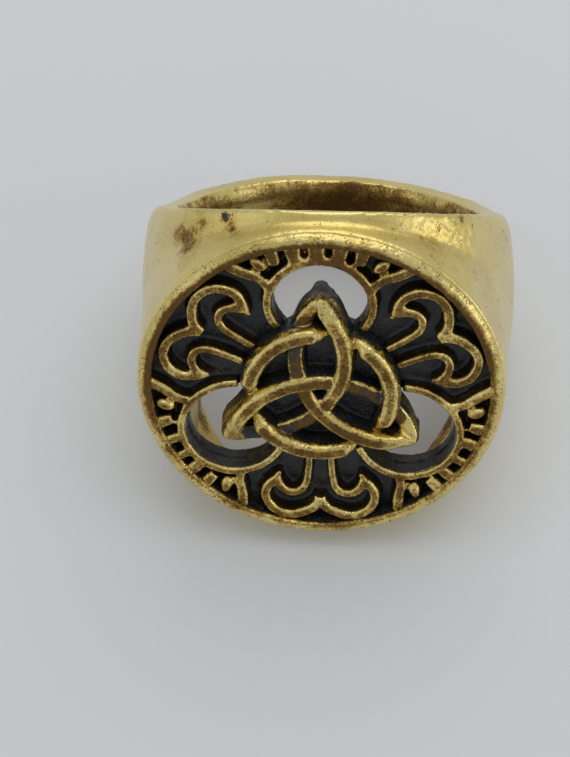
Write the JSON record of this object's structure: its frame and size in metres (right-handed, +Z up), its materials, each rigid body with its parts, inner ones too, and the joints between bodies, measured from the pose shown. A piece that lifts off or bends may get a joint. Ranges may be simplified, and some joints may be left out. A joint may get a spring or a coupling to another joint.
{
  "type": "talisman ring",
  "caption": "Cast talisman ring: a round openwork head with an interlaced triangular knot, scroll trefoils and a barred border, on a crowned band that narrows to the back.",
  "frame": {"origin": "bottom centre of the ring's box, on the surface that the ring lies on", "axes": "+Z up, -Y the way the head faces, leaning up, +X across the head; the finger opening runs up and back in the YZ plane"},
  "size_m": [0.0239, 0.026, 0.0214],
  "materials": {
    "ring": "antique gold, polished on the raised parts and blackened in the sunk ground"
  },
  "bodies": {
    "root": {"ring": "ring"}
  },
  "joints": []
}
